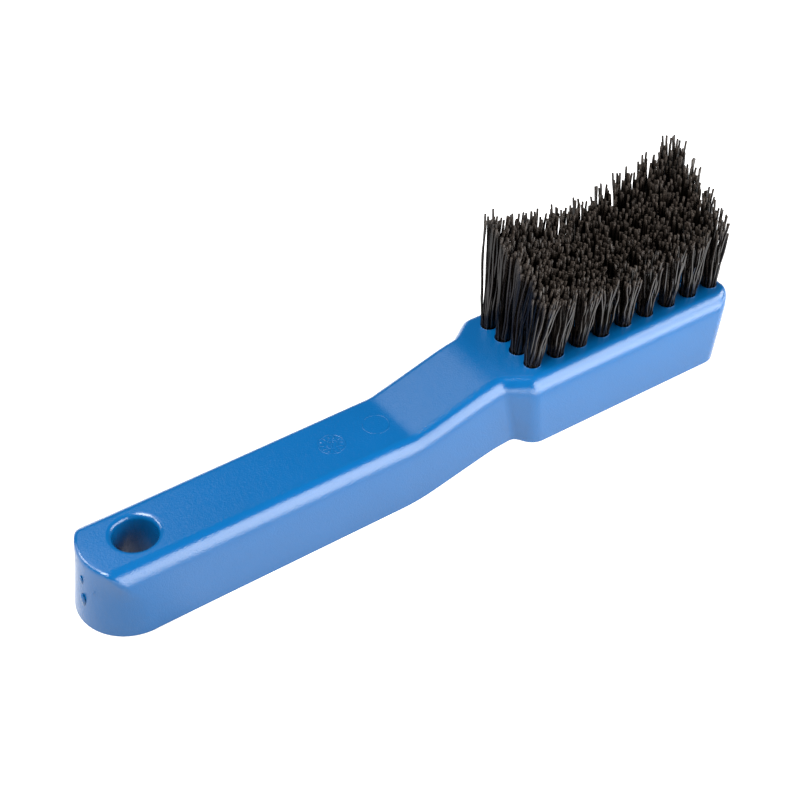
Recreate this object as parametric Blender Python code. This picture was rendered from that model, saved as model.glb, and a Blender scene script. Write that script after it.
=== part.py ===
"""Cassette cleaning brush: a moulded handle with staple-set tufts, trimmed on a slope and hollow lengthwise.

Metres, +Z up. X runs from the grip's round end to the head, Y is across, and the bristles point up.
The origin is under the middle of the brush, on the plane that the grip lies on.
"""
import math

import bmesh
import bpy
from mathutils import Matrix, Vector

MM = 0.001

# Grip, seen from above and from the side
GRIP_LENGTH = 102.6 * MM
GRIP_HEIGHT = 22.5 * MM
GRIP_BASE_WIDTH = 30.6 * MM
GRIP_TOP_WIDTH = 24.6 * MM
EDGE_WIDTH = 3.8 * MM
EDGE_DEPTH = 6.0 * MM
GRIP_END_FILLET = 1.2 * MM
END_TOP_RADIUS = 18.7 * MM
END_TANGENT_SHARE = 0.55
END_SETBACK = 3.2 * MM
END_CREASE_BLEND = 1.4 * MM

# Neck, which climbs from the grip to the head
NECK_LENGTH = 29.4 * MM
NECK_RISE = 8.3 * MM
NECK_BASE_WIDTH = 28.6 * MM
NECK_TOP_WIDTH = 27.0 * MM
TOP_CREASE_BLEND = 1.2 * MM
TOP_SHOULDER_BLEND = 5.0 * MM
BELLY_BLEND = 6.0 * MM
NECK_SEAT = 0.8 * MM

# Head, a drafted block whose far end leans in and whose shoulders steepen underneath
HEAD_LENGTH = 85.9 * MM
HEAD_HEIGHT = 23.7 * MM
HEAD_BASE_WIDTH = 39.8 * MM
HEAD_TOP_WIDTH = 37.6 * MM
HEAD_CORNER = 6.0 * MM
HEAD_END_LEAN = math.radians(10.4)
HEAD_END_FILLET = 2.0 * MM
SHOULDER_LENGTH = 8.0 * MM
SHOULDER_HOLLOW = 3.0 * MM
SHOULDER_ROUND = 6.0 * MM
SHOULDER_LEAN = math.radians(10.1)
BASE_FILLET = 0.3 * MM

# Hanging hole through the grip
HANG_HOLE_RADIUS = 6.4 * MM
HANG_HOLE_LIP = 1.7 * MM
HANG_HOLE_PLACE = 19.5 * MM

# Tufts: filaments folded over a flat anchor that is driven into a blind hole
TUFT_HOLE_RADIUS = 2.5 * MM
TUFT_HOLE_DEPTH = 8.0 * MM
TUFT_PITCH = 8.65 * MM
ROW_PITCH = 7.2 * MM
FIRST_TUFT = 12.3 * MM
LAST_MARGIN = 4.0 * MM
SIDE_MARGIN = 6.7 * MM
TUFT_GAP = 0.3 * MM
ROOT_BELOW_FACE = 1.0 * MM
ANCHOR_THICKNESS = 0.6 * MM
ANCHOR_HEIGHT = 2.4 * MM
ANCHOR_OVER_FOLD = 0.4 * MM
FOLD_DEPTH = 0.8 * MM
STRAND_RADIUS = 0.5 * MM
STRAND_ROOT = 0.4 * MM
INNER_RING = 0.45

# Trim: the height of the bristle tips over the head
TRIM_MIDDLE = 23.8 * MM
TRIM_END_RISE = 10.6 * MM
TRIM_FAR_RISE = 0.4 * MM
TRIM_SLOPE = 0.48
TRIM_END_SLOPE = 0.16
TRIM_UNEVEN = 0.9 * MM
UNEVEN_BY_STRAND = 2.4
UNEVEN_BY_COLUMN = 2.6
UNEVEN_BY_ROW = 3.3
TUFT_SPREAD = 1.8
FIELD_SPREAD_X = 0.985
FIELD_SPREAD_Y = 1.08
FIELD_LEAN = 1.2 * MM

# How finely round shapes are divided
FILLET_STEPS = 7
BASE_FILLET_STEPS = 2
WALL_STEPS = 4
ARC_STEPS = 12
CREASE_STEPS = 4
HOLE_SIDES = 12
HANG_HOLE_SIDES = 48
LIP_STEPS = 6
PLUG_SIDES = 8
STRAND_SIDES = 3
INNER_STRANDS = 4
OUTER_STRANDS = 8
STATION = 2.0 * MM
WELD = 0.001 * MM
SHARP_ANGLE = math.radians(32)

# Colours and roughness, as the surface shows them in plain light
HANDLE_COLOUR = (0.012, 0.130, 0.560, 1.0)
HANDLE_ROUGHNESS = 0.38
BRISTLE_COLOUR = (0.012, 0.011, 0.010, 1.0)
BRISTLE_ROUGHNESS = 0.55

# Places along the brush, measured from the grip's end
NECK_START = GRIP_LENGTH
NECK_END = NECK_START + NECK_LENGTH
HEAD_START = NECK_END + NECK_SEAT
HEAD_END = HEAD_START + HEAD_LENGTH
HEAD_TOP = GRIP_HEIGHT + NECK_RISE
HEAD_BASE = HEAD_TOP - HEAD_HEIGHT
CENTRE_X = HEAD_END / 2


def clear_scene():
    """Removes every object that the scene starts with."""
    for item in list(bpy.data.objects):
        bpy.data.objects.remove(item, do_unlink=True)


def make_material(name, colour, roughness):
    material = bpy.data.materials.new(name)
    material.use_nodes = True
    shader = material.node_tree.nodes["Principled BSDF"]
    shader.inputs["Base Color"].default_value = colour
    shader.inputs["Roughness"].default_value = roughness
    shader.inputs["Metallic"].default_value = 0.0
    return material


def add_object(name, mesh, material=None):
    item = bpy.data.objects.new(name, mesh)
    bpy.context.collection.objects.link(item)
    if material is not None:
        mesh.materials.append(material)
    return item


def mesh_from(bm, name):
    """Turns a bmesh into a mesh, with its faces pointing out."""
    bmesh.ops.recalc_face_normals(bm, faces=bm.faces)
    mesh = bpy.data.meshes.new(name)
    bm.to_mesh(mesh)
    bm.free()
    return mesh


def apply_boolean(target, cutter, operation):
    """Joins or cuts with an exact Boolean, keeps the result and removes the tool object."""
    modifier = target.modifiers.new(operation.title(), "BOOLEAN")
    modifier.operation = operation
    modifier.solver = "EXACT"
    modifier.object = cutter
    evaluated = target.evaluated_get(bpy.context.evaluated_depsgraph_get())
    result = bpy.data.meshes.new_from_object(evaluated)
    target.modifiers.clear()
    target.data = result
    bpy.data.objects.remove(cutter, do_unlink=True)


def bend(x, place, blend):
    """A straight climb of slope one that starts at place and is rounded over blend on both sides."""
    reach = x - place
    if reach <= -blend:
        return 0.0
    if reach >= blend:
        return reach
    return (reach + blend) ** 2 / (4 * blend)


def top_height(x):
    """Height of the upper face along the brush: level, climbing, level."""
    climb = NECK_RISE / NECK_LENGTH
    start = bend(x, NECK_START, TOP_CREASE_BLEND)
    stop = bend(x, NECK_END, TOP_SHOULDER_BLEND)
    return GRIP_HEIGHT + climb * (start - stop)


def base_height(x):
    """Height of the underside along the brush, which follows the upper face."""
    climb = HEAD_BASE / NECK_LENGTH
    start = bend(x, NECK_START, BELLY_BLEND)
    stop = bend(x, NECK_END, BELLY_BLEND)
    return climb * (start - stop)


def half_width(x, share):
    """Half width of grip and neck at share of the height down from the upper face."""
    along = min(max(x / NECK_END, 0.0), 1.0)
    top = (GRIP_TOP_WIDTH + (NECK_TOP_WIDTH - GRIP_TOP_WIDTH) * along) / 2
    base = (GRIP_BASE_WIDTH + (NECK_BASE_WIDTH - GRIP_BASE_WIDTH) * along) / 2
    return top + (base - top) * share


def head_half_width(share):
    return (HEAD_TOP_WIDTH + (HEAD_BASE_WIDTH - HEAD_TOP_WIDTH) * share) / 2


def edge_inset(width, height, depth):
    """How far a rounded edge of this width and height draws in at a depth below its face."""
    share = max(1 - depth / height, 0.0)
    return width * (1 - math.sqrt(1 - share ** 2))


def levels():
    """The rings that make the side wall, as a depth below the top face or a height over the base."""
    rings = []
    for step in range(FILLET_STEPS + 1):
        angle = math.pi / 2 * step / FILLET_STEPS
        rings.append((EDGE_DEPTH * (1 - math.cos(angle)), None))
    for step in range(1, WALL_STEPS + 1):
        rings.append((EDGE_DEPTH + (GRIP_HEIGHT - 2 * EDGE_DEPTH) * step / WALL_STEPS, None))
    for step in range(BASE_FILLET_STEPS, -1, -1):
        angle = math.pi / 2 * step / BASE_FILLET_STEPS
        rings.append((None, BASE_FILLET * (1 - math.cos(angle))))
    return rings


def end_slip(depth):
    """How far the head's far end has drawn in at a depth: round at first, then straight on its lean."""
    below = depth - HEAD_END_FILLET
    if below <= 0:
        return 0.0
    turn = HEAD_END_FILLET * math.sin(HEAD_END_LEAN)
    if below <= turn:
        return HEAD_END_FILLET - math.sqrt(HEAD_END_FILLET ** 2 - below ** 2)
    return HEAD_END_FILLET * (1 - math.cos(HEAD_END_LEAN)) + (below - turn) * math.tan(HEAD_END_LEAN)


def end_radius(share):
    """Plan radius of the grip's end: it runs smoothly into the sides low down and flattens upwards."""
    flatter = max(1 - share / END_TANGENT_SHARE, 0.0) ** 2
    return half_width(END_SETBACK, share) + (END_TOP_RADIUS - GRIP_TOP_WIDTH / 2) * flatter


def end_points(share, inset_side, inset_end):
    """The grip's end, which leans back upwards, from its tip to the softened crease with the side."""
    centre = END_SETBACK * (1 - share) + end_radius(share)
    radius = end_radius(share) - inset_end
    side = half_width(END_SETBACK, share) - inset_side
    crease = math.asin(min(side / radius, 1.0))
    corner = Vector((centre - radius * math.cos(crease), side))
    last = crease - END_CREASE_BLEND / radius
    points = []
    for step in range(ARC_STEPS + 1):
        angle = last * step / ARC_STEPS
        points.append(Vector((centre - radius * math.cos(angle), radius * math.sin(angle))))
    start = points[-1]
    reach = corner.x + END_CREASE_BLEND
    stop = Vector((reach, half_width(reach, share) - inset_side))
    for step in range(1, CREASE_STEPS + 1):
        along = step / CREASE_STEPS
        points.append(start.lerp(corner, along).lerp(corner.lerp(stop, along), along))
    return [tuple(point) for point in points]


def side_stations():
    """Places along the grip and neck where the side has points, close together in the bends."""
    first = GRIP_BASE_WIDTH / 2 + STATION
    stations = {first}
    bends = ((NECK_START - BELLY_BLEND, NECK_START + BELLY_BLEND), (NECK_END - BELLY_BLEND, HEAD_START))
    for start, stop in bends:
        steps = math.ceil((stop - start) / STATION)
        stations.update(start + (stop - start) * step / steps for step in range(steps + 1))
    return sorted(x for x in stations if first <= x < HEAD_START - STATION / 2)


def side_points(share, inset):
    return [(x, half_width(x, share) - inset) for x in side_stations()]


def shoulder_points(neck_share, head_share, inset, depth):
    """The slope from the neck out to the head, between a hollow fillet and a round corner."""
    begin = HEAD_START + depth * math.tan(SHOULDER_LEAN)
    start = Vector((begin, half_width(begin, neck_share)))
    stop = Vector((HEAD_START + SHOULDER_LENGTH, head_half_width(head_share)))
    turn = math.atan2(stop.y - start.y, stop.x - start.x)
    hollow = start + Vector((-math.tan(turn / 2), 1)) * SHOULDER_HOLLOW
    corner = stop + Vector((math.tan(turn / 2), -1)) * SHOULDER_ROUND
    steps = ARC_STEPS // 2
    angles = [turn * step / steps for step in range(steps + 1)]
    wide = SHOULDER_HOLLOW + inset
    tight = SHOULDER_ROUND - inset
    before = [(hollow.x + wide * math.sin(angle), hollow.y - wide * math.cos(angle)) for angle in angles]
    after = [(corner.x - tight * math.sin(angle), corner.y + tight * math.cos(angle)) for angle in angles]
    return before + after[::-1]


def far_end_points(share, inset_side, inset_end, slip):
    """The head's far corner, drawn in by slip because the end leans in towards the base."""
    centre = Vector((HEAD_END - slip - HEAD_CORNER, head_half_width(share) - HEAD_CORNER))
    reach_x = HEAD_CORNER - inset_end
    reach_y = HEAD_CORNER - inset_side
    points = []
    for step in range(ARC_STEPS + 1):
        angle = math.pi / 2 * step / ARC_STEPS
        points.append((centre.x + reach_x * math.sin(angle), centre.y + reach_y * math.cos(angle)))
    return points


def ring(level):
    """One closed loop of the side wall, with the half outline first and then its mirror."""
    depth, rise = level
    on_top = rise is None
    grip_share = depth / GRIP_HEIGHT if on_top else 1 - rise / GRIP_HEIGHT
    head_depth = depth if on_top else HEAD_HEIGHT - rise
    head_share = head_depth / HEAD_HEIGHT
    if on_top:
        side = edge_inset(EDGE_WIDTH, EDGE_DEPTH, depth)
        grip_end = edge_inset(GRIP_END_FILLET, GRIP_END_FILLET, depth)
        head_end = edge_inset(HEAD_END_FILLET, HEAD_END_FILLET, depth)
    else:
        side = grip_end = head_end = edge_inset(BASE_FILLET, BASE_FILLET, rise)
    half = end_points(grip_share, side, grip_end)
    half += side_points(grip_share, side)
    half += shoulder_points(grip_share, head_share, side, head_depth)
    half += far_end_points(head_share, side, head_end, end_slip(head_depth))
    points = []
    for x, y in half:
        z = top_height(x) - depth if on_top else base_height(x) + rise
        points.append(Vector((x - CENTRE_X, y, z)))
    mirrored = [Vector((p.x, -p.y, p.z)) for p in points[:0:-1]]
    return points + mirrored, len(points)


def handle_shell():
    """Stacks the rings into the side wall and closes it above and below with strips across the brush."""
    bm = bmesh.new()
    loops = []
    for level in levels():
        points, half = ring(level)
        loops.append([bm.verts.new(point) for point in points])
    count = len(loops[0])
    for upper, lower in zip(loops, loops[1:]):
        for at in range(count):
            after = (at + 1) % count
            bm.faces.new((upper[at], upper[after], lower[after], lower[at]))
    for loop in (loops[0], loops[-1]):
        bm.faces.new((loop[0], loop[1], loop[-1]))
        for at in range(1, half - 1):
            bm.faces.new((loop[at], loop[at + 1], loop[-at - 1], loop[-at]))
    return mesh_from(bm, "handle")


def hang_hole_cutter():
    """A turned plug with rounded rims, which leaves a smooth lip on both faces."""
    rim = HANG_HOLE_RADIUS + HANG_HOLE_LIP
    profile = [(0.0, -HANG_HOLE_LIP), (rim + HANG_HOLE_LIP, -HANG_HOLE_LIP / LIP_STEPS)]
    for step in range(1, LIP_STEPS + 1):
        angle = math.pi / 2 * step / LIP_STEPS
        profile.append((rim - HANG_HOLE_LIP * math.sin(angle), HANG_HOLE_LIP * (1 - math.cos(angle))))
    upper = [(radius, GRIP_HEIGHT - height) for radius, height in reversed(profile)]
    bm = bmesh.new()
    verts = [bm.verts.new((radius, 0.0, height)) for radius, height in profile + upper]
    edges = [bm.edges.new(pair) for pair in zip(verts, verts[1:])]
    bmesh.ops.spin(bm, geom=verts + edges, cent=(0, 0, 0), axis=(0, 0, 1), angle=math.tau,
                   steps=HANG_HOLE_SIDES, use_merge=True)
    bmesh.ops.remove_doubles(bm, verts=bm.verts, dist=WELD)
    bmesh.ops.translate(bm, verts=bm.verts, vec=(HANG_HOLE_PLACE - CENTRE_X, 0, 0))
    return add_object("hang_hole_cutter", mesh_from(bm, "hang_hole_cutter"))


def tuft_places():
    """Centres of the tuft holes: as many columns and rows as the head's face carries."""
    span = HEAD_LENGTH - FIRST_TUFT - LAST_MARGIN
    columns = int(span / TUFT_PITCH) + 1
    rows = int((HEAD_TOP_WIDTH - 2 * SIDE_MARGIN) / ROW_PITCH) + 1
    first_x = HEAD_START + FIRST_TUFT - CENTRE_X
    first_y = -ROW_PITCH * (rows - 1) / 2
    places = {}
    for row in range(rows):
        for column in range(columns):
            name = f"tuft_r{row + 1}_c{column + 1}"
            places[name] = Vector((first_x + column * TUFT_PITCH, first_y + row * ROW_PITCH, HEAD_TOP))
    return places


def field_centre():
    places = tuft_places().values()
    total = Vector((0.0, 0.0, 0.0))
    for place in places:
        total += place
    return total / len(places)


def tuft_hole_cutter():
    """All blind holes at once, each a prism whose flats lie on the hole's radius."""
    bm = bmesh.new()
    corner = TUFT_HOLE_RADIUS / math.cos(math.pi / HOLE_SIDES)
    over = BASE_FILLET
    for place in tuft_places().values():
        centre = place + Vector((0, 0, (over - TUFT_HOLE_DEPTH) / 2))
        bmesh.ops.create_cone(bm, cap_ends=True, segments=HOLE_SIDES, radius1=corner, radius2=corner,
                              depth=TUFT_HOLE_DEPTH + over, matrix=Matrix.Translation(centre))
    return add_object("tuft_hole_cutter", mesh_from(bm, "tuft_hole_cutter"))


def make_handle(material):
    handle = add_object("handle", handle_shell())
    apply_boolean(handle, hang_hole_cutter(), "DIFFERENCE")
    apply_boolean(handle, tuft_hole_cutter(), "DIFFERENCE")
    handle.data.materials.clear()
    handle.data.materials.append(material)
    handle.data.shade_smooth()
    handle.data.set_sharp_from_angle(angle=SHARP_ANGLE)
    return handle


def trim_height(x, y):
    """Height of the trimmed tips at a place on the head: higher at both ends and at the far side."""
    centre = field_centre()
    along = (x - centre.x) / (HEAD_LENGTH / 2)
    slope = TRIM_SLOPE + TRIM_END_SLOPE * along ** 2
    hollow = TRIM_END_RISE * along ** 2 + TRIM_FAR_RISE * along
    return HEAD_TOP + TRIM_MIDDLE + hollow + slope * (y - centre.y)


def strand_roots():
    """Where the strands stand in their tuft: an inner ring and an outer one."""
    reach = (TUFT_HOLE_RADIUS - TUFT_GAP) * math.cos(math.pi / PLUG_SIDES) - STRAND_RADIUS
    roots = []
    for count, share in ((INNER_STRANDS, INNER_RING), (OUTER_STRANDS, 1.0)):
        for step in range(count):
            angle = math.tau * (step + share / 2) / count
            roots.append(Vector((math.cos(angle), math.sin(angle), 0)) * reach * share)
    return roots


def add_strand(bm, foot, tip):
    """One straight strand as a slim prism, closed at both ends."""
    loops = []
    for point in (foot, tip):
        loop = []
        for side in range(STRAND_SIDES):
            angle = math.tau * side / STRAND_SIDES
            offset = Vector((math.cos(angle), math.sin(angle), 0)) * STRAND_RADIUS
            loop.append(bm.verts.new(point + offset))
        loops.append(loop)
    lower, upper = loops
    for side in range(STRAND_SIDES):
        after = (side + 1) % STRAND_SIDES
        bm.faces.new((lower[side], lower[after], upper[after], upper[side]))
    bm.faces.new(lower[::-1])
    bm.faces.new(upper)


def strand_ends(place, root, number):
    """Foot and tip of a strand. Every strand opens by the same rule, so none cross."""
    centre = field_centre()
    fanned_x = centre.x + (place.x - centre.x) * FIELD_SPREAD_X + FIELD_LEAN
    tip = Vector((fanned_x, place.y * FIELD_SPREAD_Y, 0)) + root * TUFT_SPREAD
    turn = UNEVEN_BY_COLUMN * place.x / TUFT_PITCH + UNEVEN_BY_ROW * place.y / ROW_PITCH
    uneven = math.sin(UNEVEN_BY_STRAND * number + turn)
    foot = place + root - Vector((0, 0, ROOT_BELOW_FACE + STRAND_ROOT))
    tip.z = trim_height(tip.x, tip.y) + TRIM_UNEVEN * uneven
    return foot, tip


def plug_loop(bm, size, height):
    angles = [math.tau * (side + 0.5) / PLUG_SIDES for side in range(PLUG_SIDES)]
    return [bm.verts.new((size * math.cos(angle), size * math.sin(angle), height)) for angle in angles]


def tuft_plug():
    """The packed fold of a tuft in its hole, with its rounded bottom, about the hole's mouth."""
    radius = TUFT_HOLE_RADIUS - TUFT_GAP
    bottom = TUFT_GAP - TUFT_HOLE_DEPTH
    bm = bmesh.new()
    loops = [
        plug_loop(bm, radius - FOLD_DEPTH, bottom),
        plug_loop(bm, radius, bottom + FOLD_DEPTH),
        plug_loop(bm, radius, -ROOT_BELOW_FACE),
    ]
    for lower, upper in zip(loops, loops[1:]):
        for side in range(PLUG_SIDES):
            after = (side + 1) % PLUG_SIDES
            bm.faces.new((lower[side], lower[after], upper[after], upper[side]))
    bm.faces.new(loops[0][::-1])
    bm.faces.new(loops[-1])
    return mesh_from(bm, "plug")


def anchor_plate(place):
    """The flat anchor in the fold, whose ends stand out of the filaments towards the hole's wall."""
    length = 2 * (TUFT_HOLE_RADIUS - TUFT_GAP)
    height = TUFT_GAP - TUFT_HOLE_DEPTH + FOLD_DEPTH + ANCHOR_OVER_FOLD + ANCHOR_HEIGHT / 2
    size = Matrix.Diagonal((length, ANCHOR_THICKNESS, ANCHOR_HEIGHT, 1.0))
    bm = bmesh.new()
    bmesh.ops.create_cube(bm, size=1.0, matrix=Matrix.Translation(place + Vector((0, 0, height))) @ size)
    return add_object("anchor", mesh_from(bm, "anchor"))


def make_tuft(name, place, material):
    """One tuft: its packed fold, the anchor through the fold and the strands that stand on it."""
    tuft = add_object(name, tuft_plug())
    tuft.location = place
    bm = bmesh.new()
    for number, root in enumerate(strand_roots()):
        add_strand(bm, *strand_ends(place, root, number))
    strands = add_object("strands", mesh_from(bm, "strands"))
    bpy.context.view_layer.update()
    apply_boolean(tuft, strands, "UNION")
    apply_boolean(tuft, anchor_plate(place), "UNION")
    tuft.data.materials.clear()
    tuft.data.materials.append(material)
    return tuft


def main():
    clear_scene()
    plastic = make_material("blue_moulded_plastic", HANDLE_COLOUR, HANDLE_ROUGHNESS)
    bristle = make_material("black_bristle", BRISTLE_COLOUR, BRISTLE_ROUGHNESS)
    make_handle(plastic)
    for name, place in tuft_places().items():
        make_tuft(name, place, bristle)


main()
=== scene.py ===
"""Cassette cleaning brush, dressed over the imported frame.

The scene adds the moulded handle, its marks, its bristles and the studio of the photograph.
"""
import math
import random

import bmesh
import bpy
from bpy.props import FloatProperty, FloatVectorProperty, IntProperty, PointerProperty
from mathutils import Matrix, Vector


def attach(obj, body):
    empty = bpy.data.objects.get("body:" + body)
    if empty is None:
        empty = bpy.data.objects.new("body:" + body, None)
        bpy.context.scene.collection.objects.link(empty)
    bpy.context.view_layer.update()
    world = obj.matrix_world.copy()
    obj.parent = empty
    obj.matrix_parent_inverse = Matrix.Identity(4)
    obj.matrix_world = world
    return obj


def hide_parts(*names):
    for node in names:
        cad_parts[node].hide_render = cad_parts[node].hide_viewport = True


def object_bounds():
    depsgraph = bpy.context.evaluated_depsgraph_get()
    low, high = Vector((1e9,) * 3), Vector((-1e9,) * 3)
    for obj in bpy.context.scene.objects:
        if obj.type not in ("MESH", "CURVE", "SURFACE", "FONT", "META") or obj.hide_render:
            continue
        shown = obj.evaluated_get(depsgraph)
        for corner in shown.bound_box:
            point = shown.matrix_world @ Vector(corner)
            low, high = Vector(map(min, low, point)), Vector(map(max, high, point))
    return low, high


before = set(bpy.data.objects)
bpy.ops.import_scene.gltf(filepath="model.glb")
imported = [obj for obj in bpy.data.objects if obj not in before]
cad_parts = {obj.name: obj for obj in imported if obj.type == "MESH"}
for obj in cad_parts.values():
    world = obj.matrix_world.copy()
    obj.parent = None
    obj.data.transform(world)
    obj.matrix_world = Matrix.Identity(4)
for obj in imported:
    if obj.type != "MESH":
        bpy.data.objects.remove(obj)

bl_info = {
    "name": "Cassette cleaning brush",
    "version": (1, 0, 0),
    "blender": (4, 5, 0),
    "location": "3D View > Sidebar > Brush",
    "description": "Dresses the packed brush with its finished handle, marks and bristles",
    "category": "Object",
}

MM = 0.001
CAD_BOX = [list(corner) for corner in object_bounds()]

# Places along the brush are measured from the grip's end, as in the part's source
CENTRE_X = 109.35 * MM
GRIP_TOP = 22.5 * MM
HEAD_TOP = 30.8 * MM
HALF_HEAD = 42.95 * MM
END_RADIUS = 18.7 * MM
END_LEAN = 3.2 / 22.5

# Tuft holes
TUFT_ROWS = 4
TUFT_COLUMNS = 9
TUFT_PITCH = 8.65 * MM
ROW_PITCH = 7.2 * MM
FIRST_TUFT = 145.1 * MM
OUTER_ROW = (TUFT_ROWS - 1) / 2
RIM_RADIUS = 2.66 * MM
RIM_WIDTH = 0.24 * MM
RIM_HEIGHT = 0.05 * MM

# Handle mesh
WELD = 0.002 * MM
HANDLE_SHARP = math.radians(32)

# Moulded marks on the grip
WHEEL_PLACE = 82.0 * MM
PLAIN_RING_PLACE = 97.1 * MM
MARK_RADIUS = 3.95 * MM
WHEEL_INNER_RADIUS = 1.75 * MM
TICKS = 12
TICK_REACH = 2.85 * MM
TICK_LENGTH = 0.95 * MM
TICK_WIDTH = 0.40 * MM
ARROW_LENGTH = 2.6 * MM
ARROW_WIDTH = 0.34 * MM
ARROW_TURN = math.radians(60)
BARB_PLACE = (0.9 * MM, 0.3 * MM)
BARB_LENGTH = 0.9 * MM
BARB_WIDTH = 0.28 * MM
BARB_TURN = math.radians(42)
BAR_THICKNESS = 0.26 * MM
BAR_BEVEL_SHARE = 0.3
RING_STEPS = 72
SUNK = 0.05 * MM

# Marks on the grip's end in mm: height above the base, place across, how far out, size
GATE_SEED = 7
GATE_MARKS = (
    (14.9, -0.8, 0.35, 1.5),
    (8.5, -1.8, 0.55, 2.1),
    (13.8, -6.0, 0.10, 0.3),
)
GATE_SQUASH = 0.55
GATE_ROUGHNESS = 0.06

# Trim of the bristle tips above the head's face
TRIM_MIDDLE = 24.1 * MM
TRIM_END_RISE = 10.6 * MM
TRIM_FAR_RISE = 0.4 * MM
TRIM_CORNER_RISE = 2.6 * MM
TRIM_SLOPE = 0.40
TRIM_END_SLOPE = 0.16
TIP_CLEARANCE = 0.1 * MM

# Lean of the tufts: the first columns lean to the far end, and the rest a little back
LEANING_COLUMNS = 3.2
FIRST_LEAN = 3.0 * MM
FIELD_LEAN = 0.7 * MM
LEAN_STEP = 0.12 * MM
SPREAD_ACROSS = 1.08
TUFT_SCATTER_ALONG = 0.5 * MM
TUFT_SCATTER_ACROSS = 0.4 * MM

# Strands
STRAND_SIDES = 5
STRAND_SEGMENTS = 10
STRAND_SHARP = math.radians(60)
GOLDEN_ANGLE = math.pi * (3 - math.sqrt(5))
FOOT_DEPTH = 1.2 * MM
TIP_SCATTER = 0.42 * MM
STRAY_SHARE = 0.04
STRAY_LENGTH = (0.5, 2.2)
WAVES = (1.2, 2.4)
BOW = 2.4
OPENING = 1.25
STRAIGHT_SHARE = 0.25

# Plastic: noise scales are per metre
MOTTLE_SCALE = 55.0
MOTTLE_TONE = 0.06
MOTTLE_ROUGHNESS = 0.06
SCUFF_SCALE = 420.0
SCUFF_BORDER = (0.62, 0.78)
SCUFF_TONE = 1.5
SCUFF_SHARE = 0.10
SCUFF_ROUGHNESS = 0.05
FINE_GRAIN_SCALE = 2600.0
COARSE_GRAIN_SCALE = 1300.0
COARSE_GRAIN_SHARE = 0.8
GRAIN_DEPTH = 0.05 * MM
PLASTIC_IOR = 1.5

# Filament: tones are shares of its colour, and the cut end is the last tenth of a strand
TONE_RANGE = (0.5, 2.4)
CUT_END = (0.9, 1.0)
PALE_END_SHARE = 0.35
RIDGE_SCALE = 1900.0
RIDGE_DEPTH = 0.03 * MM
RIDGE_STRENGTH = 0.06
FILAMENT_ROUGHNESS = 0.10
FILAMENT_IOR = 1.38

# The photograph's camera
EYE = Vector((-86.458 * MM - CENTRE_X, -287.677 * MM, 337.360 * MM))
LOOK_AZIMUTH = math.radians(-33.72)
LOOK_DOWN = math.radians(41.83)
SENSOR_WIDTH = 36.0
LENS = 72.0

# Lights: name, brightness in StudioLight, azimuth and elevation in degrees, distance, size
LIGHTS = (
    ("front_softbox", "front", -68, 19.5, 1.1, (0.9, 0.72)),
    ("side_softbox", "side", -24, 25, 1.2, (0.7, 0.5)),
    ("back_lamp", "back", 137, 28, 1.1, (0.35, 0.35)),
    ("high_softbox", "high", 171, 61, 1.2, (0.7, 0.65)),
    ("neck_scrim", "scrim", 98, 54, 1.2, (0.6, 0.4)),
)

# Table: its glow is painted light. The glow is dimmed past the grip's end, left out in a gap
# before the brush and strong in a painted bright patch beyond the gap. Each pair says where a
# soft border starts and ends. The first and last lie toward the grip's end, the others before
# the brush
FLOOR_SIZE = 6.0
FLOOR_GREY = (0.45, 0.45, 0.45, 1.0)
DIM_BORDER = (76 * MM, 92 * MM)
GAP_BORDER = (48 * MM, 58 * MM)
GLOW_PATCH_BORDER = (92 * MM, 110 * MM)
GLOW_PATCH_FADE = (0.0, 90 * MM)
DIMMING = 0.65


# Shader maths

class Value:
    """Wraps a socket, so that an expression on values adds its Math nodes."""

    def __init__(self, tree, socket):
        self.tree = tree
        self.socket = socket

    def _math(self, operation, first, second):
        settings = {"operation": operation}
        node = self.tree.add("ShaderNodeMath", settings, {0: first, 1: second})
        return Value(self.tree, node.outputs[0])

    def __add__(self, other):
        return self._math("ADD", self, other)

    __radd__ = __add__

    def __mul__(self, other):
        return self._math("MULTIPLY", self, other)

    __rmul__ = __mul__

    def __sub__(self, other):
        return self._math("SUBTRACT", self, other)

    def __rsub__(self, other):
        return self._math("SUBTRACT", other, self)


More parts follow.
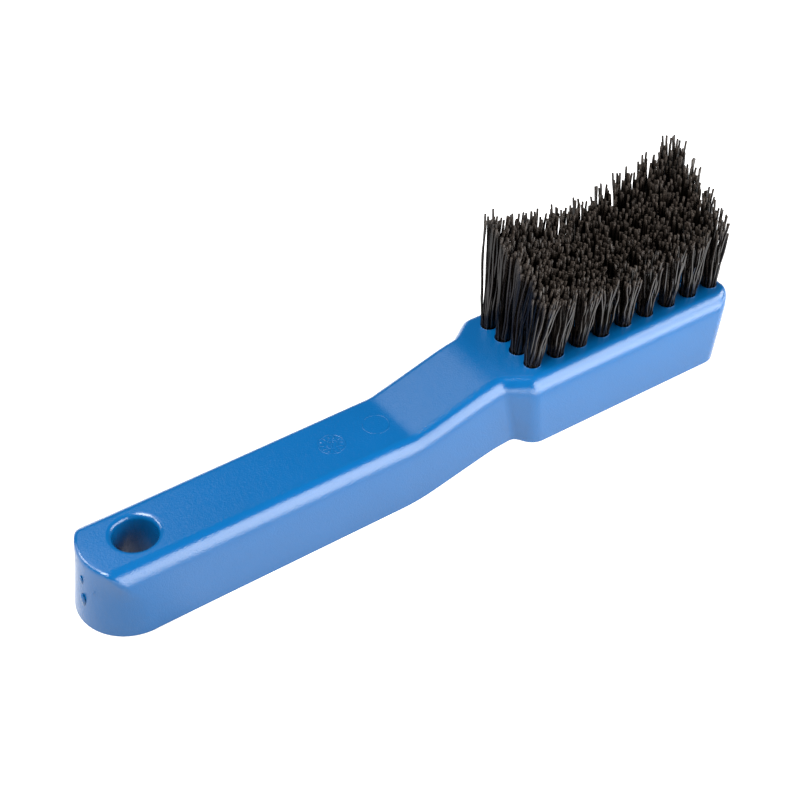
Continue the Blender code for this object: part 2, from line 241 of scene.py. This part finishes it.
class Finish:
    """A material's node tree, with one method that adds any node."""

    def __init__(self, name):
        self.material = bpy.data.materials.new(name)
        self.material.use_nodes = True
        self.nodes = self.material.node_tree.nodes
        self.links = self.material.node_tree.links
        self.shader = self.nodes["Principled BSDF"]

    def put(self, socket, value):
        """Links a value or a socket to an input, or sets the input to a number or colour."""
        if isinstance(value, Value):
            self.links.new(value.socket, socket)
        elif isinstance(value, bpy.types.NodeSocket):
            self.links.new(value, socket)
        else:
            socket.default_value = value

    def add(self, kind, settings=None, inputs=None):
        """Adds a node with its settings and inputs."""
        node = self.nodes.new(kind)
        for name, value in (settings or {}).items():
            setattr(node, name, value)
        for key, value in (inputs or {}).items():
            self.put(node.inputs[key], value)
        return node

    def value(self, kind, output, settings=None, inputs=None):
        """Adds a node and wraps one of its outputs."""
        return Value(self, self.add(kind, settings, inputs).outputs[output])

    def noise(self, scale, detail=2.0, roughness=0.5):
        place = self.add("ShaderNodeTexCoord").outputs["Object"]
        inputs = {"Vector": place, "Scale": scale, "Detail": detail, "Roughness": roughness}
        return self.value("ShaderNodeTexNoise", 0, None, inputs)

    def attribute(self, name):
        return self.value("ShaderNodeAttribute", "Fac", {"attribute_name": name})

    def ramp(self, value, low, high):
        """Zero up to low and one from high on, smooth in between."""
        settings = {"interpolation_type": "SMOOTHSTEP"}
        return self.value("ShaderNodeMapRange", 0, settings, {0: value, 1: low, 2: high})

    def mix(self, share, first, second):
        inputs = {0: share, 6: first, 7: second}
        return self.add("ShaderNodeMix", {"data_type": "RGBA"}, inputs).outputs[2]

    def relief(self, height, distance, strength=1.0):
        inputs = {"Height": height, "Distance": distance, "Strength": strength}
        return self.add("ShaderNodeBump", None, inputs).outputs["Normal"]

    def surface(self, **inputs):
        """Fills in the shader, and gives back the finished material."""
        for name, value in inputs.items():
            self.put(self.shader.inputs[name.replace("_", " ")], value)
        return self.material


def shade(colour, factor):
    """A colour made darker or lighter."""
    return tuple(channel * factor for channel in colour[:3]) + (1.0,)


def moulded_plastic(colours):
    """Satin blue plastic: a fine eroded grain, a little flow mottling and soft scuffs."""
    finish = Finish("satin_blue_plastic")
    colour = tuple(colours.plastic) + (1.0,)
    mottle = finish.noise(MOTTLE_SCALE, detail=3.0)
    scuff = finish.noise(SCUFF_SCALE, detail=4.0, roughness=0.7)
    scuff = finish.ramp(scuff, *SCUFF_BORDER)
    tone = finish.mix(mottle, shade(colour, 1 - MOTTLE_TONE), shade(colour, 1 + MOTTLE_TONE))
    coarse_grain = finish.noise(COARSE_GRAIN_SCALE) * COARSE_GRAIN_SHARE
    grain = finish.noise(FINE_GRAIN_SCALE) + coarse_grain
    softness = mottle * MOTTLE_ROUGHNESS + scuff * SCUFF_ROUGHNESS
    return finish.surface(
        Base_Color=finish.mix(scuff * SCUFF_SHARE, tone, shade(colour, SCUFF_TONE)),
        Roughness=softness + colours.plastic_roughness,
        IOR=PLASTIC_IOR,
        Normal=finish.relief(grain, GRAIN_DEPTH),
    )


def filament(colours):
    """Dark filament: each strand has its own tone, and its cut end is paler and rougher."""
    finish = Finish("black_filament")
    dark = tuple(colours.bristle) + (1.0,)
    pale_end_colour = tuple(colours.bristle_tip) + (1.0,)
    tone = finish.attribute("strand_tone")
    darkest, palest = (shade(dark, factor) for factor in TONE_RANGE)
    end = finish.ramp(finish.attribute("strand_along"), *CUT_END)
    # The last tenth of each strand is coloured paler, most on the palest strands
    pale_end_share = end * (PALE_END_SHARE + tone * (1 - PALE_END_SHARE))
    ridges = finish.noise(RIDGE_SCALE)
    return finish.surface(
        Base_Color=finish.mix(pale_end_share, finish.mix(tone, darkest, palest), pale_end_colour),
        Roughness=tone * 0.12 + end * 0.3 + ridges * 0.06 + FILAMENT_ROUGHNESS,
        IOR=FILAMENT_IOR,
        Normal=finish.relief(ridges, RIDGE_DEPTH, RIDGE_STRENGTH),
    )


# Meshes

def new_object(name, bm, material):
    """Turns a bmesh into an object in the scene."""
    mesh = bpy.data.meshes.new(name)
    bm.to_mesh(mesh)
    bm.free()
    mesh.materials.append(material)
    made = bpy.data.objects.new(name, mesh)
    bpy.context.scene.collection.objects.link(made)
    return made


def new_piece(name, bm, material):
    """Turns a bmesh into a finished piece that rides on the brush."""
    piece = new_object(name, bm, material)
    piece.data.shade_smooth()
    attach(piece, "root")
    return piece


def along_brush(x, y, z):
    """A point given from the grip's end, in the frame."""
    return Vector((x - CENTRE_X, y, z))


def tuft_hole(row, column):
    """The middle of a tuft hole's mouth, in the frame."""
    across = (row - OUTER_ROW) * ROW_PITCH
    return along_brush(FIRST_TUFT + column * TUFT_PITCH, across, HEAD_TOP)


def moulded_handle(material):
    """The handle's solid, merged and with its long faces and radii shaded as one moulding."""
    bm = bmesh.new()
    bm.from_mesh(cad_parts["handle"].data)
    bmesh.ops.remove_doubles(bm, verts=bm.verts, dist=WELD)
    piece = new_piece("moulded_handle", bm, material)
    packed_normals = piece.data.attributes.get("custom_normal")
    if packed_normals:
        piece.data.attributes.remove(packed_normals)
    piece.data.set_sharp_from_angle(angle=HANDLE_SHARP)
    normals = piece.modifiers.new("Normals", "WEIGHTED_NORMAL")
    normals.keep_sharp = True
    normals.weight = 100
    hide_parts("handle")


def add_part(bm, part, place):
    """Moves a finished small part to its place and joins it to the piece."""
    part.transform(place)
    mesh = bpy.data.meshes.new("part")
    part.to_mesh(mesh)
    part.free()
    bm.from_mesh(mesh)
    bpy.data.meshes.remove(mesh)


def raised_ring(bm, centre, radius, width, height):
    """A flat-topped ring with rounded edges, sunk a little into the face it stands on."""
    half = width / 2
    profile = [
        (radius - half, -SUNK),
        (radius - half, height * 0.5),
        (radius - half * 0.5, height),
        (radius + half * 0.5, height),
        (radius + half, height * 0.5),
        (radius + half, -SUNK),
    ]
    part = bmesh.new()
    verts = [part.verts.new((reach, 0.0, rise)) for reach, rise in profile]
    edges = [part.edges.new(pair) for pair in zip(verts, verts[1:] + verts[:1])]
    bmesh.ops.spin(part, geom=verts + edges, cent=(0, 0, 0), axis=(0, 0, 1), angle=math.tau,
                   steps=RING_STEPS, use_merge=True)
    add_part(bm, part, Matrix.Translation(centre))


def raised_bar(bm, centre, length, width, turn):
    """A small bar with bevelled edges, half sunk into the face it stands on."""
    size = (length, width, BAR_THICKNESS)
    part = bmesh.new()
    bmesh.ops.create_cube(part, size=1.0, matrix=Matrix.Diagonal((*size, 1.0)))
    bmesh.ops.bevel(part, geom=part.edges[:], offset=min(size) * BAR_BEVEL_SHARE, segments=2,
                    profile=0.5, affect="EDGES", material=-1)
    add_part(bm, part, Matrix.Translation(centre) @ Matrix.Rotation(turn, 4, "Z"))


def mould_marks(material):
    """The date wheel, with its ticks and an arrow, and the plain ring beside it."""
    bm = bmesh.new()
    wheel = along_brush(WHEEL_PLACE, 0, GRIP_TOP)
    raised_ring(bm, wheel, MARK_RADIUS, width=0.26 * MM, height=0.07 * MM)
    raised_ring(bm, wheel, WHEEL_INNER_RADIUS, width=0.16 * MM, height=0.05 * MM)
    for step in range(TICKS):
        angle = math.tau * (step + 0.5) / TICKS
        spoke = Vector((math.cos(angle), math.sin(angle), 0))
        raised_bar(bm, wheel + spoke * TICK_REACH, TICK_LENGTH, TICK_WIDTH, angle)
    raised_bar(bm, wheel, ARROW_LENGTH, ARROW_WIDTH, ARROW_TURN)
    ahead, aside = BARB_PLACE
    for side in (-1, 1):
        barb = Matrix.Rotation(ARROW_TURN, 3, "Z") @ Vector((ahead, side * aside, 0))
        barb_turn = ARROW_TURN - side * BARB_TURN
        raised_bar(bm, wheel + barb, BARB_LENGTH, BARB_WIDTH, barb_turn)
    plain_ring = along_brush(PLAIN_RING_PLACE, 0, GRIP_TOP)
    raised_ring(bm, plain_ring, MARK_RADIUS, width=0.24 * MM, height=0.06 * MM)
    bmesh.ops.recalc_face_normals(bm, faces=bm.faces)
    new_piece("mould_marks", bm, material)


def hole_rims(material):
    """The low burr that the bit leaves around each tuft hole."""
    bm = bmesh.new()
    for row in range(TUFT_ROWS):
        for column in range(TUFT_COLUMNS):
            raised_ring(bm, tuft_hole(row, column), RIM_RADIUS, RIM_WIDTH, RIM_HEIGHT)
    bmesh.ops.recalc_face_normals(bm, faces=bm.faces)
    new_piece("hole_rims", bm, material)


def gate_marks(material):
    """The trimmed gate stubs on the grip's end."""
    rng = random.Random(GATE_SEED)
    bm = bmesh.new()
    for mark in GATE_MARKS:
        rise, across, height, size = (value * MM for value in mark)
        back = END_LEAN * rise + across ** 2 / (2 * END_RADIUS)
        squash = Matrix.Diagonal((height, size * GATE_SQUASH, size, 1.0))
        place = Matrix.Translation(along_brush(back, across, rise)) @ squash
        made = bmesh.ops.create_icosphere(bm, subdivisions=3, radius=1.0, matrix=place)
        for vert in made["verts"]:
            shift = Vector((rng.uniform(-0.5, 0.5), rng.uniform(-1, 1), rng.uniform(-1, 1)))
            vert.co += shift * size * GATE_ROUGHNESS
    new_piece("gate_marks", bm, material)


# Bristles

def trim_height(x, y):
    """Height of the trimmed tips: hollow lengthwise, and rising to the far side and corner."""
    middle = FIRST_TUFT + TUFT_PITCH * (TUFT_COLUMNS - 1) / 2
    along = (x + CENTRE_X - middle) / HALF_HEAD
    far_corner = max(along, 0.0) ** 2 * max(y, 0.0) / (OUTER_ROW * ROW_PITCH)
    height = TRIM_MIDDLE + TRIM_END_RISE * along ** 2 + TRIM_FAR_RISE * along
    slope = TRIM_SLOPE + TRIM_END_SLOPE * along ** 2
    return HEAD_TOP + height + TRIM_CORNER_RISE * far_corner + slope * y


def tuft_lean(column):
    """How far the tips of a column lean toward the far end."""
    first = max(0.0, 1.0 - column / LEANING_COLUMNS) * FIRST_LEAN
    return first - FIELD_LEAN - LEAN_STEP * (column - (TUFT_COLUMNS - 1) / 2)


def strand_pattern():
    """One straight strand of unit length and radius, in rings from its foot to its cut end."""
    bm = bmesh.new()
    bmesh.ops.create_cone(bm, cap_ends=True, segments=STRAND_SIDES, radius1=1.0, radius2=1.0,
                          depth=1.0, matrix=Matrix.Translation((0, 0, 0.5)))
    for step in range(1, STRAND_SEGMENTS):
        geom = bm.verts[:] + bm.edges[:] + bm.faces[:]
        bmesh.ops.bisect_plane(bm, geom=geom, dist=1e-6, plane_no=(0, 0, 1),
                               plane_co=(0, 0, step / STRAND_SEGMENTS))
    mesh = bpy.data.meshes.new("strand_pattern")
    bm.to_mesh(mesh)
    bm.free()
    return mesh


def strand_path(foot, tip, crimp, rng):
    """A function from 0 to 1 for the strand's centre: it leaves straight, opens and waves."""
    waves = rng.uniform(*WAVES)
    phase = rng.uniform(0, math.tau)
    facing = rng.uniform(0, math.tau)
    sway = Vector((math.cos(facing), math.sin(facing), 0)) * crimp
    bow = Vector((rng.uniform(-1, 1), rng.uniform(-1, 1), 0)) * crimp * BOW

    def place(share):
        spot = foot.lerp(tip, share ** OPENING)
        spot.z = foot.z + (tip.z - foot.z) * share
        ease = min(share / STRAIGHT_SHARE, 1.0)
        wave = sway * math.sin(math.tau * waves * share + phase)
        return spot + (wave + bow * math.sin(math.pi * share)) * ease
    return place


def bristle_tuft(name, row, column, sizes, pattern, material):
    """One tuft of crimped strands that fan out of their hole up to the trim."""
    rng = random.Random(1000 * row + column)
    hole = tuft_hole(row, column)
    fan = Vector((hole.x + tuft_lean(column), hole.y * SPREAD_ACROSS, 0))
    fan.x += rng.uniform(-1, 1) * TUFT_SCATTER_ALONG
    fan.y += rng.uniform(-1, 1) * TUFT_SCATTER_ACROSS
    bm = bmesh.new()
    tone = bm.verts.layers.float.new("strand_tone")
    height = bm.verts.layers.float.new("strand_along")
    radius = sizes.strand_diameter / 2
    for number in range(sizes.strands):
        reach = math.sqrt((number + 0.5) / sizes.strands)
        angle = number * GOLDEN_ANGLE + row + column
        spoke = Vector((math.cos(angle), math.sin(angle), 0)) * reach
        foot = hole + spoke * sizes.root_radius - Vector((0, 0, FOOT_DEPTH))
        tip = fan + spoke * sizes.tip_radius
        tip += Vector((rng.gauss(0, TIP_SCATTER), rng.gauss(0, TIP_SCATTER), 0))
        uneven = rng.gauss(0, sizes.unevenness)
        is_stray = rng.random() > 1 - STRAY_SHARE
        uneven += is_stray * rng.uniform(*STRAY_LENGTH) * MM
        tip.z = min(trim_height(tip.x, tip.y) + uneven, CAD_BOX[1][2] - TIP_CLEARANCE)
        place = strand_path(foot, tip, sizes.crimp, rng)
        own_tone = rng.random()
        before = len(bm.verts)
        bm.from_mesh(pattern)
        bm.verts.ensure_lookup_table()
        for vert in bm.verts[before:]:
            share = vert.co.z
            vert.co = place(share) + Vector((vert.co.x, vert.co.y, 0)) * radius
            vert[tone] = own_tone
            vert[height] = share
    piece = new_piece(name, bm, material)
    piece.data.set_sharp_from_angle(angle=STRAND_SHARP)
    return piece


# Studio

def look_from_photo():
    """The photograph's camera."""
    level = math.cos(LOOK_DOWN)
    ahead = Vector((-math.sin(LOOK_AZIMUTH) * level, math.cos(LOOK_AZIMUTH) * level,
                    -math.sin(LOOK_DOWN)))
    right = Vector((math.cos(LOOK_AZIMUTH), math.sin(LOOK_AZIMUTH), 0))
    above = right.cross(ahead)
    data = bpy.data.cameras.new("camera")
    data.sensor_width = SENSOR_WIDTH
    data.lens = LENS
    data.clip_start = 0.01
    data.clip_end = 50.0
    camera = bpy.data.objects.new("camera", data)
    bpy.context.scene.collection.objects.link(camera)
    turn = Matrix((right, above, -ahead)).transposed().to_4x4()
    camera.matrix_world = Matrix.Translation(EYE) @ turn
    bpy.context.scene.camera = camera


def softbox(name, azimuth, elevation, distance, size, radiance):
    """A rectangular light that faces the brush. Its power gives the radiance at any size."""
    data = bpy.data.lights.new(name, "AREA")
    data.shape = "RECTANGLE"
    data.size, data.size_y = size
    data.energy = radiance * math.pi * size[0] * size[1]
    lamp = bpy.data.objects.new(name, data)
    bpy.context.scene.collection.objects.link(lamp)
    turn = math.radians(azimuth)
    tilt = math.radians(elevation)
    level = math.cos(tilt)
    way = Vector((math.cos(turn) * level, math.sin(turn) * level, math.sin(tilt)))
    facing = way.to_track_quat("Z", "Y").to_matrix().to_4x4()
    lamp.matrix_world = Matrix.Translation(way * distance) @ facing


def glowing_floor(glow, glow_patch):
    """A white table whose glow is painted light, dimmer past the grip's end. Before the brush
    the glow has a gap, and then a painted bright patch that fades toward the grip's end.
    """
    finish = Finish("glowing_floor")
    place = finish.add("ShaderNodeTexCoord").outputs["Object"]
    split = finish.add("ShaderNodeSeparateXYZ", None, {"Vector": place})
    beside = 0 - Value(finish, split.outputs["X"])
    ahead = 0 - Value(finish, split.outputs["Y"])
    # Painted shade in the glow: it is dimmer past the grip's end and missing in the gap before
    # the brush
    dimmer = 1 - finish.ramp(beside, *DIM_BORDER) * DIMMING
    outside_gap = 1 - finish.ramp(ahead, *GAP_BORDER)
    glow_patch_fade = 1 - finish.ramp(beside, *GLOW_PATCH_FADE) * DIMMING
    # Painted light: a bright glowing patch on the table before the brush, fading toward the
    # grip's end
    bright = finish.ramp(ahead, *GLOW_PATCH_BORDER) * glow_patch_fade * glow_patch
    material = finish.surface(
        Base_Color=FLOOR_GREY,
        Roughness=0.9,
        IOR=1.1,
        Emission_Color=dimmer * outside_gap * glow + bright,
        Emission_Strength=1.0,
    )
    bm = bmesh.new()
    bmesh.ops.create_grid(bm, x_segments=1, y_segments=1, size=FLOOR_SIZE)
    floor = new_object("floor", bm, material)


def dim_room(radiance):
    """The even, dim light of the room."""
    world = bpy.data.worlds.new("room")
    world.use_nodes = True
    background = world.node_tree.nodes["Background"].inputs
    background["Color"].default_value = (1, 1, 1, 1)
    background["Strength"].default_value = radiance
    bpy.context.scene.world = world


# Properties

class BrushSizes(bpy.types.PropertyGroup):
    """Sizes of the bristles."""
    strands: IntProperty(
        name="Strands in a tuft", description="How many filaments stand in each hole",
        default=40, min=8, max=80)
    strand_diameter: FloatProperty(
        name="Strand diameter", description="Thickness of one filament",
        default=0.74 * MM, unit="LENGTH")
    root_radius: FloatProperty(
        name="Root radius", description="How far the strands reach out at the hole",
        default=2.2 * MM, unit="LENGTH")
    tip_radius: FloatProperty(
        name="Tip radius", description="How far the strands reach out at the trim",
        default=4.2 * MM, unit="LENGTH")
    unevenness: FloatProperty(
        name="Unevenness", description="How much the tips vary in height",
        default=0.8 * MM, unit="LENGTH")
    crimp: FloatProperty(
        name="Crimp", description="How far a strand waves to each side",
        default=0.24 * MM, unit="LENGTH")


class BrushColours(bpy.types.PropertyGroup):
    """Colours and softness of the materials."""
    plastic: FloatVectorProperty(
        name="Plastic", description="Colour of the moulded handle",
        subtype="COLOR", size=3, default=(0.0003, 0.061, 0.184))
    plastic_roughness: FloatProperty(
        name="Plastic roughness", description="How soft the handle's reflections are",
        default=0.16, min=0.0, max=1.0)
    bristle: FloatVectorProperty(
        name="Bristle", description="Colour of the filaments",
        subtype="COLOR", size=3, default=(0.0034, 0.0026, 0.0021))
    bristle_tip: FloatVectorProperty(
        name="Bristle tip", description="Colour of the cut ends",
        subtype="COLOR", size=3, default=(0.024, 0.018, 0.014))


class StudioLight(bpy.types.PropertyGroup):
    """Brightness of each light."""
    front: FloatProperty(
        name="Front softbox", description="Brightness of the low softbox in front", default=9.3)
    side: FloatProperty(
        name="Side softbox", description="Brightness of the low softbox at the right",
        default=11.0)
    back: FloatProperty(
        name="Back lamp", description="Brightness of the small lamp behind", default=15.0)
    high: FloatProperty(
        name="High softbox", description="Brightness of the softbox above and behind",
        default=21.0)
    scrim: FloatProperty(
        name="Neck scrim", description="Brightness of the scrim that the neck mirrors",
        default=2.25)
    floor: FloatProperty(
        name="Floor glow", description="Brightness that the table adds by itself", default=1.0)
    # Painted light: brightness of the glowing patch on the table in front
    glow_patch: FloatProperty(
        name="Card", description="Brightness of the card on the table in front", default=8.8)
    room: FloatProperty(
        name="Room", description="Brightness of the dim room", default=0.09)


# Operators

class CASSETTEBRUSH_OT_handle(bpy.types.Operator):
    """Adds the moulded handle"""
    bl_idname = "cassette_brush.handle"
    bl_label = "Handle"

    def execute(self, context):
        moulded_handle(moulded_plastic(context.scene.brush_colours))
        return {"FINISHED"}


class CASSETTEBRUSH_OT_marks(bpy.types.Operator):
    """Adds the moulded marks, the gate stubs and the rims of the tuft holes"""
    bl_idname = "cassette_brush.marks"
    bl_label = "Marks"

    def execute(self, context):
        plastic = bpy.data.materials["satin_blue_plastic"]
        mould_marks(plastic)
        gate_marks(plastic)
        hole_rims(plastic)
        return {"FINISHED"}


class CASSETTEBRUSH_OT_bristles(bpy.types.Operator):
    """Adds the bristle tufts in their holes"""
    bl_idname = "cassette_brush.bristles"
    bl_label = "Bristles"

    def execute(self, context):
        material = filament(context.scene.brush_colours)
        sizes = context.scene.brush_sizes
        pattern = strand_pattern()
        for row in range(TUFT_ROWS):
            for column in range(TUFT_COLUMNS):
                place = f"r{row + 1}_c{column + 1}"
                piece = bristle_tuft(f"bristles_{place}", row, column, sizes, pattern, material)
                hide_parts(f"tuft_{place}")
        bpy.data.meshes.remove(pattern)
        return {"FINISHED"}


class CASSETTEBRUSH_OT_stage(bpy.types.Operator):
    """Adds the floor with its painted glow, the softboxes and the photograph's camera"""
    bl_idname = "cassette_brush.stage"
    bl_label = "Stage"

    def execute(self, context):
        light = context.scene.brush_light
        glowing_floor(light.floor, light.glow_patch)
        for name, brightness, azimuth, elevation, distance, size in LIGHTS:
            softbox(name, azimuth, elevation, distance, size, getattr(light, brightness))
        dim_room(light.room)
        look_from_photo()
        context.scene.view_settings.view_transform = "Standard"
        return {"FINISHED"}


class CASSETTEBRUSH_PT_panel(bpy.types.Panel):
    bl_label = "Cassette cleaning brush"
    bl_idname = "CASSETTEBRUSH_PT_panel"
    bl_space_type = "VIEW_3D"
    bl_region_type = "UI"
    bl_category = "Brush"

    def draw(self, context):
        for operator in OPERATORS:
            self.layout.operator(operator.bl_idname)
        for name in GROUPS:
            group = getattr(context.scene, name)
            box = self.layout.box()
            for setting in group.__annotations__:
                box.prop(group, setting)


GROUPS = {"brush_sizes": BrushSizes, "brush_colours": BrushColours, "brush_light": StudioLight}
OPERATORS = (
    CASSETTEBRUSH_OT_stage,
    CASSETTEBRUSH_OT_handle,
    CASSETTEBRUSH_OT_marks,
    CASSETTEBRUSH_OT_bristles,
)


def register():
    for kind in (*GROUPS.values(), *OPERATORS, CASSETTEBRUSH_PT_panel):
        bpy.utils.register_class(kind)
    for name, kind in GROUPS.items():
        setattr(bpy.types.Scene, name, PointerProperty(type=kind))


def unregister():
    for name in GROUPS:
        delattr(bpy.types.Scene, name)
    for kind in (CASSETTEBRUSH_PT_panel, *OPERATORS[::-1], *GROUPS.values()):
        bpy.utils.unregister_class(kind)


def main():
    register()
    bpy.ops.cassette_brush.stage()
    bpy.ops.cassette_brush.handle()
    bpy.ops.cassette_brush.marks()
    bpy.ops.cassette_brush.bristles()


if __name__ == "__main__":
    main()
